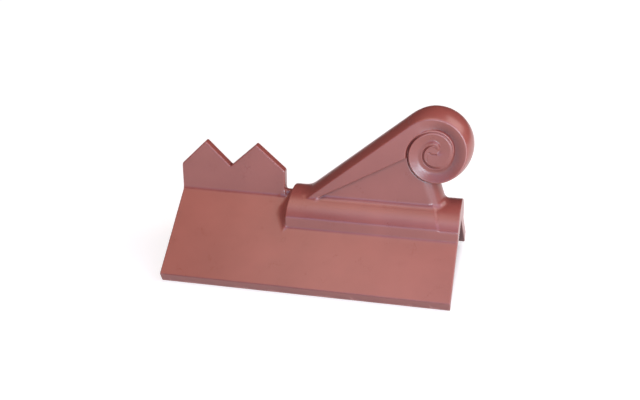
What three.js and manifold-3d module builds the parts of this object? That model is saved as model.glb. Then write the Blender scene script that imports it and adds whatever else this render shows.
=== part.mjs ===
// A clay ridge tile with a two-peaked comb at one end and a scroll finial at the other, fired in one piece.
// Millimetres, +Z up. X runs along the ridge with the scroll at the +X end, and Y runs across it.
// The origin is under the middle of the whole piece, on the plane that the tile's feet stand on.

import * as THREE from 'three';
import { mergeVertices } from 'three/addons/utils/BufferGeometryUtils.js';
import Module from 'manifold-3d';

// Ridge tile
const TILE_LENGTH = 450;
const RIDGE_ANGLE = 105;
const WING_WIDTH = 166;
const TILE_THICKNESS = 18;
const FOOT_LEAN = 7.5;
const RIDGE_ROUNDING = 4;
const HOLLOW_ROUNDING = 12;

// Comb: an upright fin with two peaks, flush with the tile's left end, from where its points are set off
const COMB_LENGTH = 169.5;
const COMB_THICKNESS = 15;
const COMB_SHOULDER = 36.4;
const COMB_PEAK = 40.7;
const FIRST_PEAK_AT = 41.2;
const NOTCH_AT = 81.2;
const SECOND_PEAK_AT = 124.2;
const NOTCH_LIFT = 1.5;

// Saddle: a barrel-topped block over the ridge, flush with the tile's right end
const SADDLE_LENGTH = 266.2;
const SADDLE_HALF_WIDTH = 51.5;
const SADDLE_RISE = 11.2;
const BAND_HEIGHT = 17.5;
const COVE_LENGTH = 12;
const END_STRIP_LENGTH = 26.7;
const END_STRIP_DROP = 2.3;

// Scroll: an arm that climbs to a volute, both with a rounded outer face, over a thinner web
const SCROLL_THICKNESS = 60;
const ARM_CROWN = 7.5;
const ARM_SLOPE = 39.6;
const ARM_FILLET = 15;
const CREASE_SLOPE = 29.5;
const CREASE_TURN = 258;
const WEB_THICKNESS = 52;
const WEB_LAP = 6;
const WEB_CROWN = 11;
const WEB_END_LEAN = 18.5;
const WEB_END_FILLET = 9;
const WEB_END_TOP_RISE = 40;

// Volute: a spiral rim, wound clockwise as seen from -Y. Turns are degrees from straight up.
const VOLUTE_SETBACK = 45;
const VOLUTE_RISE = 78.7;
const VOLUTE_RADIUS = 55.5;
const COIL_PITCH = 21.3;
const COIL_DRIFT_X = 0.55;
const COIL_DRIFT_Z = 2.57;
const COIL_OVAL = 1.3;
const COIL_OVAL_TURN = 19.4;
const COIL_END_TURN = 798;
const VOLUTE_CROWN = 10.5;
const CROWN_FULL_TURN = 0;
const CROWN_END_TURN = 280;

// Relief on both faces of the volute
const RIM_WIDTH = 2.4;
const DISH_DEPTH = 4.2;
const LIP_DEPTH = 2.6;
const GROOVE_DEPTH = 5.4;
const DISH_START = 40;
const DISH_END = 70;
const GROOVE_START_TURN = 236;
const LEAST_WIDENING = 0.08;

// Fineness of curves, and how deep a form is let into the one that carries it
const TURN_STEP = 10;
const DIRECTION_SPAN = 0.5;
const JOIN_SEARCH_STEPS = 40;
const BARREL_SEGMENTS = 22;
const FILLET_SEGMENTS = 5;
const ROUND_SEGMENTS = 4;
const CROWN_LEVELS = 4;
const COVE_STEPS = [0, 0.12, 0.3, 0.55, 0.95];
const LET_IN = 14;
const SKIN = 0.2;

const CLAY = new THREE.MeshStandardMaterial({
  name: 'red_clay',
  color: 0xb4716a,
  roughness: 0.6,
  metalness: 0,
});

const radians = THREE.MathUtils.degToRad;
const FULL_TURN = 360;

// Heights and widths that follow from the driving sizes
const WING_DIP = radians((180 - RIDGE_ANGLE) / 2);
const foot = {
  halfWidth: WING_WIDTH * Math.cos(WING_DIP),
  inward: TILE_THICKNESS * (Math.sin(WING_DIP) - Math.tan(radians(FOOT_LEAN)) * Math.cos(WING_DIP)),
  height: TILE_THICKNESS * (Math.cos(WING_DIP) + Math.tan(radians(FOOT_LEAN)) * Math.sin(WING_DIP)),
};
const RIDGE_TOP = foot.height + WING_WIDTH * Math.sin(WING_DIP);
const HOLLOW_TOP = RIDGE_TOP - TILE_THICKNESS / Math.cos(WING_DIP);
const LEFT_END = -TILE_LENGTH / 2;
const RIGHT_END = TILE_LENGTH / 2;

/** Height of the wing's upper face at a distance from the ridge. */
const wingHeight = (y) => RIDGE_TOP - Math.abs(y) * Math.tan(WING_DIP);

// Barrel of the saddle: an arc through the crown and the tops of the side bands
const SADDLE_CROWN = RIDGE_TOP + SADDLE_RISE;
const BAND_TOP = wingHeight(SADDLE_HALF_WIDTH) + BAND_HEIGHT;
const BARREL_SAGITTA = SADDLE_CROWN - BAND_TOP;
const BARREL_RADIUS = (SADDLE_HALF_WIDTH ** 2 + BARREL_SAGITTA ** 2) / (2 * BARREL_SAGITTA);

/** Height of the barrel's surface at a distance from the ridge line. */
const barrelHeight = (y) => SADDLE_CROWN - BARREL_RADIUS + Math.sqrt(BARREL_RADIUS ** 2 - y ** 2);

/** How far a rounded outer face stands out from its edge, at y across a body of a half width and rise. */
function crownOffset(y, halfWidth, rise) {
  const radius = (halfWidth ** 2 + rise ** 2) / (2 * rise);
  const across = Math.min(Math.abs(y), halfWidth);
  return Math.sqrt(radius ** 2 - across ** 2) - (radius - rise);
}

const SCROLL_HALF = SCROLL_THICKNESS / 2;
const WEB_HALF = WEB_THICKNESS / 2;
const scrollCrown = (y, rise) => (rise / VOLUTE_CROWN) * crownOffset(y, SCROLL_HALF, VOLUTE_CROWN);
const webCrown = (y) => crownOffset(y, WEB_HALF, WEB_CROWN);

// Volute spiral
const volute = new THREE.Vector2(RIGHT_END - VOLUTE_SETBACK, SADDLE_CROWN + VOLUTE_RISE);

/** Point (x, z) of the spiral rim at a turn in degrees, clockwise from straight up. */
function rimPoint(turn) {
  const turns = turn / FULL_TURN;
  const oval = COIL_OVAL * Math.cos(2 * radians(turn - COIL_OVAL_TURN));
  const radius = VOLUTE_RADIUS - COIL_PITCH * turns + oval;
  return new THREE.Vector2(
    volute.x + COIL_DRIFT_X * turns + radius * Math.sin(radians(turn)),
    volute.y + COIL_DRIFT_Z * turns + radius * Math.cos(radians(turn)),
  );
}

/** Unit direction of the rim at a turn, clockwise. */
function rimDirection(turn) {
  return rimPoint(turn + DIRECTION_SPAN).sub(rimPoint(turn - DIRECTION_SPAN)).normalize();
}

/** Point on the rim, moved outwards by a distance. */
function rimOffset(turn, distance) {
  const along = rimDirection(turn);
  return rimPoint(turn).add(new THREE.Vector2(-along.y, along.x).multiplyScalar(distance));
}

/** Turn where the rim runs at the arm's slope, so that the arm leaves it without a kink. */
function findJoinTurn() {
  let low = -FULL_TURN / 4;
  let high = 0;
  for (let step = 0; step < JOIN_SEARCH_STEPS; step += 1) {
    const middle = (low + high) / 2;
    const along = rimDirection(middle);
    const steeper = Math.atan2(along.y, along.x) > radians(ARM_SLOPE);
    if (steeper) low = middle;
    else high = middle;
  }
  return (low + high) / 2;
}

const JOIN_TURN = findJoinTurn();

/** Evenly spaced numbers from first to last, both included. */
function spread(first, last, pieces) {
  return Array.from({ length: pieces + 1 }, (_, index) => first + ((last - first) * index) / pieces);
}

/** Concave fillet from one straight run to another, as points (x, z), tangent to both. */
function filletPoints(corner, towardsStart, towardsEnd, radius) {
  const between = Math.acos(THREE.MathUtils.clamp(towardsStart.dot(towardsEnd), -1, 1));
  const reach = radius / Math.tan(between / 2);
  const bisector = towardsStart.clone().add(towardsEnd).normalize();
  const centre = corner.clone().addScaledVector(bisector, radius / Math.sin(between / 2));
  const first = corner.clone().addScaledVector(towardsStart, reach).sub(centre);
  const last = corner.clone().addScaledVector(towardsEnd, reach).sub(centre);
  const sweep = Math.atan2(first.x * last.y - first.y * last.x, first.dot(last));
  return spread(0, sweep, FILLET_SEGMENTS).map((angle) =>
    first.clone().rotateAround(new THREE.Vector2(), angle).add(centre),
  );
}

/** Triangles of a flat ring's cap, wound the same way round as the ring. */
function capTriangles(ring, flatten) {
  const flat = ring.map((point) => flatten(point, ring));
  const turnsLeft = THREE.ShapeUtils.area(flat) > 0;
  return THREE.ShapeUtils.triangulateShape(flat, []).map(([a, b, c]) => {
    const triangleTurnsLeft = THREE.ShapeUtils.area([flat[a], flat[b], flat[c]]) > 0;
    return triangleTurnsLeft === turnsLeft ? [a, b, c] : [a, c, b];
  });
}

/** Closed solid through rings that all have as many points. The first and last ring are capped flat. */
function loft(rings, flatten) {
  const count = rings[0].length;
  const positions = rings.flat().flatMap((point) => [point.x, point.y, point.z]);
  const indices = [];
  for (let ring = 0; ring < rings.length - 1; ring += 1) {
    for (let side = 0; side < count; side += 1) {
      const next = (side + 1) % count;
      const here = ring * count;
      const there = here + count;
      indices.push(here + side, here + next, there + next, here + side, there + next, there + side);
    }
  }
  const last = rings.length - 1;
  for (const [a, b, c] of capTriangles(rings[0], flatten)) {
    indices.push(a, c, b);
  }
  for (const corners of capTriangles(rings[last], flatten)) {
    indices.push(...corners.map((corner) => last * count + corner));
  }
  const geometry = new THREE.BufferGeometry();
  geometry.setAttribute('position', new THREE.Float32BufferAttribute(positions, 3));
  geometry.setIndex(indices);
  return geometry;
}

const wasm = await Module();
wasm.setup();

/** Solid of a closed three.js geometry, turned the right way out whichever way its faces wind. */
function solid(geometry) {
  const bare = geometry.clone();
  bare.deleteAttribute('normal');
  bare.deleteAttribute('uv');
  const merged = mergeVertices(bare, 1e-5);
  const vertProperties = new Float32Array(merged.attributes.position.array);
  const triVerts = new Uint32Array(merged.index.array);
  if (signedVolume(vertProperties, triVerts) < 0) triVerts.reverse();
  return new wasm.Manifold(new wasm.Mesh({ numProp: 3, vertProperties, triVerts }));
}

/** Volume inside a triangle mesh, negative where its faces point inwards. */
function signedVolume(positions, triangles) {
  const [a, b, c] = [new THREE.Vector3(), new THREE.Vector3(), new THREE.Vector3()];
  let sum = 0;
  for (let index = 0; index < triangles.length; index += 3) {
    a.fromArray(positions, triangles[index] * 3);
    b.fromArray(positions, triangles[index + 1] * 3);
    c.fromArray(positions, triangles[index + 2] * 3);
    sum += a.dot(b.cross(c)) / 6;
  }
  return sum;
}

/** three.js geometry of a solid. */
function geometryOf(manifold) {
  const mesh = manifold.getMesh();
  const geometry = new THREE.BufferGeometry();
  geometry.setAttribute('position', new THREE.Float32BufferAttribute(mesh.vertProperties, 3));
  geometry.setIndex(Array.from(mesh.triVerts));
  geometry.computeVertexNormals();
  return geometry;
}

/** Corner of an outline, rounded: the tangent points and the arc's own end, drawn onto a shape. */
function roundCorner(shape, corner, from, to, radius) {
  const towardsFrom = from.clone().sub(corner).normalize();
  const towardsTo = to.clone().sub(corner).normalize();
  const between = Math.acos(towardsFrom.dot(towardsTo));
  const reach = radius / Math.tan(between / 2);
  const start = corner.clone().addScaledVector(towardsFrom, reach);
  const end = corner.clone().addScaledVector(towardsTo, reach);
  shape.lineTo(start.x, start.y);
  shape.quadraticCurveTo(corner.x, corner.y, end.x, end.y);
}

/** The ridge tile: an inverted V of even thickness, hollow beneath and open at both ends. */
function ridgeTile() {
  const outerFoot = new THREE.Vector2(foot.halfWidth, foot.height);
  const innerFoot = new THREE.Vector2(foot.halfWidth - foot.inward, 0);
  const mirrored = (point) => new THREE.Vector2(-point.x, point.y);
  const ridge = new THREE.Vector2(0, RIDGE_TOP);
  const hollow = new THREE.Vector2(0, HOLLOW_TOP);
  const section = new THREE.Shape();
  section.moveTo(innerFoot.x, innerFoot.y);
  section.lineTo(outerFoot.x, outerFoot.y);
  roundCorner(section, ridge, outerFoot, mirrored(outerFoot), RIDGE_ROUNDING);
  section.lineTo(-outerFoot.x, outerFoot.y);
  section.lineTo(-innerFoot.x, innerFoot.y);
  roundCorner(section, hollow, mirrored(innerFoot), innerFoot, HOLLOW_ROUNDING);
  section.closePath();
  const bar = new THREE.ExtrudeGeometry(section, {
    depth: TILE_LENGTH,
    bevelEnabled: false,
    curveSegments: ROUND_SEGMENTS,
  });
  bar.rotateX(Math.PI / 2);
  bar.rotateZ(Math.PI / 2);
  bar.translate(LEFT_END, 0, 0);
  return solid(bar);
}

/** The comb: shoulder, peak, notch, peak, shoulder, let into the ridge below. */
function comb() {
  const shoulder = RIDGE_TOP + COMB_SHOULDER;
  const peak = shoulder + COMB_PEAK;
  const base = wingHeight(COMB_THICKNESS / 2) - TILE_THICKNESS / 4;
  const outline = new THREE.Shape();
  outline.moveTo(0, base);
  outline.lineTo(COMB_LENGTH, base);
  outline.lineTo(COMB_LENGTH, shoulder);
  outline.lineTo(SECOND_PEAK_AT, peak);
  outline.lineTo(NOTCH_AT, shoulder + NOTCH_LIFT);
  outline.lineTo(FIRST_PEAK_AT, peak);
  outline.lineTo(0, shoulder);
  outline.closePath();
  const fin = new THREE.ExtrudeGeometry(outline, { depth: COMB_THICKNESS, bevelEnabled: false });
  fin.translate(0, 0, -COMB_THICKNESS / 2);
  fin.rotateX(Math.PI / 2);
  fin.translate(LEFT_END, 0, 0);
  return solid(fin);
}

/** Where the web's leaning right end stands at a height, along the ridge. */
function webEndAt(z) {
  return RIGHT_END - END_STRIP_LENGTH + (BAND_TOP - z) * Math.tan(radians(WEB_END_LEAN));
}

/** One section of the saddle across the ridge: bands and barrel above, let into the tile below. */
function saddleRing(place, fullness, drop) {
  const barrelHalfAngle = Math.asin(SADDLE_HALF_WIDTH / BARREL_RADIUS);
  const top = spread(barrelHalfAngle, -barrelHalfAngle, BARREL_SEGMENTS).map((angle) => {
    const y = BARREL_RADIUS * Math.sin(angle);
    return new THREE.Vector2(y, barrelHeight(y) - drop);
  });
  const sunk = TILE_THICKNESS / 2;
  const base = [-SADDLE_HALF_WIDTH, 0, SADDLE_HALF_WIDTH].map(
    (y) => new THREE.Vector2(y, wingHeight(y) - sunk),
  );
  return [...top, ...base].map((point, index) => {
    const wing = wingHeight(point.x);
    const height = index < top.length ? wing - SKIN + fullness * (point.y - wing + SKIN) : point.y;
    return new THREE.Vector3(place(height), point.x, height);
  });
}

/** The saddle: a coved left end, the main barrel up to the web's leaning end, and the lower end strip. */
function saddle() {
  const arris = RIGHT_END - SADDLE_LENGTH;
  const cove = COVE_STEPS.map((share) => {
    const fullness = 1 - Math.sqrt(1 - (1 - share) ** 2);
    return saddleRing(() => arris - share * COVE_LENGTH, fullness, 0);
  }).reverse();
  const flatten = (point) => new THREE.Vector2(point.y, point.z);
  const barrel = loft([...cove, saddleRing(webEndAt, 1, 0)], flatten);
  const stripStart = webEndAt(SADDLE_CROWN) - LET_IN;
  const stripRings = [stripStart, RIGHT_END].map((x) => saddleRing(() => x, 1, END_STRIP_DROP));
  const strip = loft(stripRings, flatten);
  return solid(barrel).add(solid(strip));
}

const EDGE_SEAT = barrelHeight(SCROLL_HALF);
const SCROLL_FLOOR = EDGE_SEAT - LET_IN;
const ARM_UP = new THREE.Vector2(Math.cos(radians(ARM_SLOPE)), Math.sin(radians(ARM_SLOPE)));
const CREASE_DOWN = new THREE.Vector2(-Math.cos(radians(CREASE_SLOPE)), -Math.sin(radians(CREASE_SLOPE)));

/** Point of a slanted line through a point at a height. */
function atHeight(through, direction, height) {
  return through.clone().addScaledVector(direction, (height - through.y) / direction.y);
}

/** Rise of the outer face at a turn: it swells from the arm to the top, and dies away over the web. */
function crownRise(turn) {
  const swelling = THREE.MathUtils.smoothstep(turn, JOIN_TURN, CROWN_FULL_TURN);
  const fading = THREE.MathUtils.smoothstep(turn, CROWN_FULL_TURN, CROWN_END_TURN);
  return THREE.MathUtils.lerp(ARM_CROWN, VOLUTE_CROWN, swelling) * (1 - fading);
}

/** Outline (x, z) of the arm and the volute at a distance y from the middle plane. */
function scrollOutline(y) {
  const joint = rimOffset(JOIN_TURN, scrollCrown(y, ARM_CROWN));
  const seat = barrelHeight(y) - SKIN;
  const heel = atHeight(joint, ARM_UP, seat);
  const fillet = filletPoints(heel, new THREE.Vector2(-1, 0), ARM_UP, ARM_FILLET);
  const turns = spread(JOIN_TURN, CREASE_TURN, Math.round((CREASE_TURN - JOIN_TURN) / TURN_STEP));
  const rim = turns.map((turn) => rimOffset(turn, scrollCrown(y, crownRise(turn))));
  const creaseSeat = atHeight(rimPoint(CREASE_TURN), CREASE_DOWN, EDGE_SEAT - LET_IN / 2);
  const start = new THREE.Vector2(fillet[0].x, SCROLL_FLOOR);
  const end = new THREE.Vector2(creaseSeat.x, SCROLL_FLOOR);
  return [start, ...fillet, ...rim, creaseSeat, end];
}

/** Outline (x, z) of the web at a distance y from the middle plane. */
function webOutline(y) {
  const leanOut = new THREE.Vector2(Math.sin(radians(WEB_END_LEAN)), -Math.cos(radians(WEB_END_LEAN)));
  const seat = barrelHeight(y) - END_STRIP_DROP - SKIN;
  const edge = new THREE.Vector2(webEndAt(seat) + webCrown(y), seat);
  const top = atHeight(edge, leanOut, SADDLE_CROWN + WEB_END_TOP_RISE);
  const fillet = filletPoints(edge, leanOut.clone().negate(), new THREE.Vector2(1, 0), WEB_END_FILLET);
  const lap = new THREE.Vector2(CREASE_DOWN.y, -CREASE_DOWN.x).multiplyScalar(WEB_LAP);
  const creaseTop = rimPoint(CREASE_TURN).add(lap);
  const creaseSeat = atHeight(creaseTop, CREASE_DOWN, EDGE_SEAT);
  const start = new THREE.Vector2(creaseSeat.x + LET_IN, SCROLL_FLOOR);
  const end = new THREE.Vector2(fillet[FILLET_SEGMENTS].x, SCROLL_FLOOR);
  return [start, creaseSeat, creaseTop, volute.clone(), top, ...fillet, end];
}

/** Solid swept across the ridge from outlines that change with the distance from the middle plane. */
function sweepAcross(outline, halfThickness) {
  const angles = spread(-Math.PI / 2, Math.PI / 2, 2 * CROWN_LEVELS);
  const rings = angles.map((angle) => {
    const y = halfThickness * Math.sin(angle);
    return outline(y).map((point) => new THREE.Vector3(point.x, y, point.y));
  });
  return solid(loft(rings, (point) => new THREE.Vector2(point.x, point.z)));
}

/** Depth of the relief below the face, over a band's width from its rim (0) to the next rim (1). */
const RELIEF = [
  { across: 0, dish: 0, groove: 0 },
  { across: 0.16, dish: 0.5 * DISH_DEPTH, groove: 0 },
  { across: 0.4, dish: 0.92 * DISH_DEPTH, groove: 0 },
  { across: 0.68, dish: DISH_DEPTH, groove: 0.15 },
  { across: 0.86, dish: LIP_DEPTH, groove: 0.6 },
  { across: 1, dish: LIP_DEPTH, groove: 1 },
];

/** What one face loses to leave the spiral rim standing: a coiled strip with the relief as its floor. */
function reliefCutter(side) {
  const face = side * SCROLL_HALF;
  const outside = side * (SCROLL_HALF + LET_IN);
  const first = GROOVE_START_TURN - FULL_TURN;
  const last = COIL_END_TURN - FULL_TURN;
  const turns = spread(first, last, Math.round((last - first) / TURN_STEP));
  const entry = rimOffset(JOIN_TURN + FULL_TURN, 0).distanceTo(rimPoint(JOIN_TURN));
  const rings = turns.map((turn) => {
    const inner = rimPoint(turn + FULL_TURN);
    const widening = THREE.MathUtils.clamp((turn - first) / (JOIN_TURN - first), LEAST_WIDENING, 1);
    const outer = turn < JOIN_TURN ? rimOffset(turn + FULL_TURN, entry * widening) : rimPoint(turn);
    const start = inner.distanceTo(outer) > 0 ? RIM_WIDTH / inner.distanceTo(outer) : 0;
    const strength = THREE.MathUtils.smoothstep(turn, JOIN_TURN - DISH_START, JOIN_TURN + DISH_START);
    const share = 1 - THREE.MathUtils.smoothstep(turn, last - DISH_END, last);
    const floor = RELIEF.map(({ across, dish, groove }) => {
      const at = outer.clone().lerp(inner, start * strength + (1 - start * strength) * across);
      const depth = share * Math.max(dish * strength, groove * GROOVE_DEPTH * widening) - SKIN;
      return new THREE.Vector3(at.x, face - side * depth, at.y);
    });
    const edges = [floor[floor.length - 1], floor[0]];
    const lid = edges.map((point) => new THREE.Vector3(point.x, outside, point.z));
    return [...floor, ...lid];
  });
  const flatten = (point, ring) => {
    const across = Math.hypot(point.x - ring[0].x, point.z - ring[0].z);
    return new THREE.Vector2(across, point.y);
  };
  return solid(loft(rings, flatten));
}

/** The scroll with its relief cut into both faces. */
function scroll() {
  return sweepAcross(scrollOutline, SCROLL_HALF).subtract(reliefCutter(-1)).subtract(reliefCutter(1));
}

const body = ridgeTile()
  .add(comb())
  .add(saddle())
  .add(sweepAcross(webOutline, WEB_HALF))
  .add(scroll());

const geometry = geometryOf(body);
geometry.computeBoundingBox();
geometry.translate(-(geometry.boundingBox.min.x + geometry.boundingBox.max.x) / 2, 0, 0);

const finial = new THREE.Mesh(geometry, CLAY);
finial.name = 'scroll_ridge_finial';

const model = new THREE.Group();
model.add(finial);

export default model;
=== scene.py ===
import logging
import math
from dataclasses import dataclass, field
from enum import Enum

import bpy
import numpy as np
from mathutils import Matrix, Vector


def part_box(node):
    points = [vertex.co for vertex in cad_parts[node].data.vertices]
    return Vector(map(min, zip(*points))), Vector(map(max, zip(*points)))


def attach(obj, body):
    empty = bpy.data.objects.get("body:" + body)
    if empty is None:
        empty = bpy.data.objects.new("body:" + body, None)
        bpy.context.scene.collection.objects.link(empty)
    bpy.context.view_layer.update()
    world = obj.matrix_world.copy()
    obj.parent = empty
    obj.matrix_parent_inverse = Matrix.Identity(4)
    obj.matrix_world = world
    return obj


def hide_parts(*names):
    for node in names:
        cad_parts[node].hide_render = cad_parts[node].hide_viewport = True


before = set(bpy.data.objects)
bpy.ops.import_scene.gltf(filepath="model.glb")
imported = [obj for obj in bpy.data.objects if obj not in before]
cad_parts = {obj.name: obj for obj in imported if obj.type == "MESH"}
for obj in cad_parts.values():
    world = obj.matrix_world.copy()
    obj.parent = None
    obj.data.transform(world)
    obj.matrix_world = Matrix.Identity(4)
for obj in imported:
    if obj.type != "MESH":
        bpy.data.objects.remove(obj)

# A clay ridge tile with a two-peaked comb and a scroll finial, one casting. Sizes are millimetres in a frame
# of its own, with x along the ridge from the tile's middle, y across it and z up from the feet. The finished
# mesh is moved to the frame by the tile's left end and turned into metres.

NODE = "scroll_ridge_finial"
BODY = "root"
METRE = 0.001
FULL_TURN = 360.0
TINY = 1e-9

Point = tuple[float, float]
Span = tuple[float, float]
Colour = tuple[float, float, float, float]
Lines = tuple[np.ndarray, np.ndarray, np.ndarray]

log = logging.getLogger("ridge_finial")


def soft_max(a: np.ndarray, b: np.ndarray, reach: float | np.ndarray) -> np.ndarray:
    """Larger of two distances, eased where they come within a reach of each other: it rounds an arris."""
    near = np.maximum(reach - np.abs(a - b), 0.0)
    return np.maximum(a, b) + near * near / (4.0 * reach)


def soft_min(a: np.ndarray, b: np.ndarray, reach: float | np.ndarray) -> np.ndarray:
    """Smaller of two distances, eased in the same way: it fills the inner corner between two forms."""
    return -soft_max(-a, -b, reach)


def ramp(value: np.ndarray, low: float, high: float) -> np.ndarray:
    """Smooth step of a value, from 0 at low to 1 at high."""
    share = np.clip((value - low) / (high - low), 0.0, 1.0)
    return share * share * (3.0 - 2.0 * share)


def blend(pair: Span, share: np.ndarray) -> np.ndarray:
    """Sizes that go from the first of a pair to the second as the share goes from 0 to 1."""
    return pair[0] + (pair[1] - pair[0]) * share


def bearing(azimuth: float, elevation: float) -> Vector:
    """Direction away from the piece, at angles in degrees from its near side and from level."""
    turn, lift = math.radians(azimuth), math.radians(elevation)
    return Vector((math.sin(turn) * math.cos(lift), -math.cos(turn) * math.cos(lift), math.sin(lift)))


def grey(value: float) -> Colour:
    """An opaque grey."""
    return value, value, value, 1.0


@dataclass(frozen=True)
class RidgeTile:
    """The inverted V that the ornament stands on.

    Its rounding values are reaches of soft_max, about 1.2 times the radius they give.
    """

    length: float = 450.0
    ridge_angle: float = 105.0
    wing_width: float = 166.0
    thickness: float = 18.0
    foot_lean: float = 7.5
    ridge_softness: float = 1.3
    hollow_softness: float = 3.6
    arris: float = 2.2
    heel: float = 0.9

    @property
    def dip(self) -> float:
        """Angle of the wings below level."""
        return math.radians((180.0 - self.ridge_angle) / 2.0)

    @property
    def foot(self) -> Point:
        """The foot's outer corner.

        Returns:
            Its half width and height.
        """
        lean = math.tan(math.radians(self.foot_lean))
        height = self.thickness * (math.cos(self.dip) + lean * math.sin(self.dip))
        return self.wing_width * math.cos(self.dip), height

    @property
    def ridge_top(self) -> float:
        """Height of the ridge line."""
        return self.foot[1] + self.wing_width * math.sin(self.dip)

    @property
    def hollow_top(self) -> float:
        """Height of the hollow's corner under the ridge."""
        return self.ridge_top - self.thickness / math.cos(self.dip)

    def above(self, y: np.ndarray, z: np.ndarray, softness: float = 0.0) -> np.ndarray:
        """Distance above the wings' upper faces, with the ridge line rounded off by a softness."""
        reach = np.sqrt(y * y + softness * softness)
        return (z - self.ridge_top + math.tan(self.dip) * reach) * math.cos(self.dip)

    def past_foot(self, y: np.ndarray, z: np.ndarray) -> np.ndarray:
        """Distance beyond the plane of the foot's face.

        Args:
            y: Places across the ridge.
            z: Heights.

        Returns:
            Distances, negative inside the tile.
        """
        lean = math.radians(self.foot_lean) - self.dip
        half_width, height = self.foot
        return (np.abs(y) - half_width) * math.cos(lean) + (z - height) * math.sin(lean)

    def distance(self, y: np.ndarray, z: np.ndarray) -> np.ndarray:
        """Distance to the tile's section, negative inside it. Its ends are cut later, with what stands on it.

        Args:
            y: Places across the ridge.
            z: Heights.

        Returns:
            Distances in millimetres.
        """
        hollow = np.sqrt(y * y + self.hollow_softness**2)
        below = (self.hollow_top - math.tan(self.dip) * hollow - z) * math.cos(self.dip)
        wing = soft_max(self.above(y, z, self.ridge_softness), self.past_foot(y, z), self.arris)
        return soft_max(wing, below, self.heel)


@dataclass(frozen=True)
class Comb:
    """The upright fin with two peaks at the tile's left end."""

    tile: RidgeTile
    length: float = 170.5
    thickness: float = 15.0
    shoulder: float = 36.4
    peak: float = 40.7
    first_peak: float = 41.2
    notch: float = 81.2
    second_peak: float = 124.2
    notch_lift: float = 1.5
    notch_fill: float = 1.0
    let_in: float = 10.8
    arris: float = 2.2
    tip: float = 2.2

    def slope(self, x: np.ndarray, z: np.ndarray, start: Point, end: Point) -> np.ndarray:
        """Distance above the line from start to end, both given from the comb's lower left corner.

        Args:
            x: Places along the ridge.
            z: Heights.
            start: The line's left end.
            end: The line's right end.

        Returns:
            Distances, negative under the line.
        """
        left = -self.tile.length / 2.0
        run, rise = end[0] - start[0], end[1] - start[1]
        span = math.hypot(run, rise)
        return ((z - self.tile.ridge_top - start[1]) * run - (x - left - start[0]) * rise) / span

    def distance(self, x: np.ndarray, y: np.ndarray, z: np.ndarray) -> np.ndarray:
        """Distance to the comb, negative inside it. Its left end is cut with the tile's.

        Args:
            x: Places along the ridge.
            y: Places across it.
            z: Heights.

        Returns:
            Distances in millimetres.
        """
        left = -self.tile.length / 2.0
        top = self.shoulder + self.peak
        low = (self.notch, self.shoulder + self.notch_lift)
        first = soft_max(
            self.slope(x, z, (0.0, self.shoulder), (self.first_peak, top)),
            self.slope(x, z, (self.first_peak, top), low),
            self.tip,
        )
        second = soft_max(
            self.slope(x, z, low, (self.second_peak, top)),
            self.slope(x, z, (self.second_peak, top), (self.length, self.shoulder)),
            self.tip,
        )
        outline = soft_max(soft_min(first, second, self.notch_fill), x - left - self.length, self.arris)
        outline = np.maximum(outline, self.tile.ridge_top - self.let_in - z)
        return soft_max(outline, np.abs(y) - self.thickness / 2.0, self.arris)


@dataclass(frozen=True)
class Saddle:
    """The barrel-topped block over the ridge at the tile's right end.

    The strip's drops are those at the crown and at the side bands.
    """

    tile: RidgeTile
    length: float = 266.2
    half_width: float = 51.5
    rise: float = 11.2
    band_height: float = 17.5
    end_angle: float = 58.0
    end_rise: float = 15.0
    end_rise_reach: Span = (8.0, 32.0)
    end_splay: float = 2.0
    end_splay_start: float = 20.0
    strip_length: float = 26.7
    strip_drops: Span = (2.3, 0.7)
    strip_fade: float = 25.0
    strip_ease: float = 3.2
    strip_lap: float = 3.4
    web_lean: float = 18.5
    arris: float = 1.1
    let_in: float = 9.0

    @property
    def crown(self) -> float:
        """Height of the barrel's top line."""
        return self.tile.ridge_top + self.rise

    @property
    def band_top(self) -> float:
        """Height of the side bands' upper edges."""
        return self.tile.ridge_top - math.tan(self.tile.dip) * self.half_width + self.band_height

    @property
    def radius(self) -> float:
        """Radius of the barrel."""
        sagitta = self.crown - self.band_top
        return (self.half_width**2 + sagitta**2) / (2.0 * sagitta)

    def web_end(self, z: np.ndarray) -> np.ndarray:
        """Where the web's leaning right end stands, at heights z."""
        lean = math.tan(math.radians(self.web_lean))
        return self.tile.length / 2.0 - self.strip_length + (self.band_top - z) * lean

    def distance(self, x: np.ndarray, y: np.ndarray, z: np.ndarray) -> np.ndarray:
        """Distance to the saddle, negative inside it. Its right end is cut with the tile's.

        Args:
            x: Places along the ridge.
            y: Places across it.
            z: Heights.

        Returns:
            Distances in millimetres.
        """
        right = self.tile.length / 2.0
        drop = blend(self.strip_drops, ramp(np.abs(y), self.strip_fade, self.half_width))
        drop = drop * ramp(x - self.web_end(z) + self.strip_lap, -self.strip_ease, self.strip_ease)
        barrel = np.hypot(y, z - self.crown + self.radius) - self.radius + drop
        skin = soft_max(barrel, np.abs(y) - self.half_width, self.arris)
        slant = np.radians(self.end_angle + self.end_rise * (1.0 - ramp(np.abs(y), *self.end_rise_reach)))
        splay = self.end_splay * ramp(np.abs(y), self.end_splay_start, self.half_width)
        left_end = (right - self.length - splay - x) * np.sin(slant) + skin * np.cos(slant)
        body = np.maximum(skin, -self.let_in - self.tile.above(y, z))
        return soft_max(body, left_end, self.arris)


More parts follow.
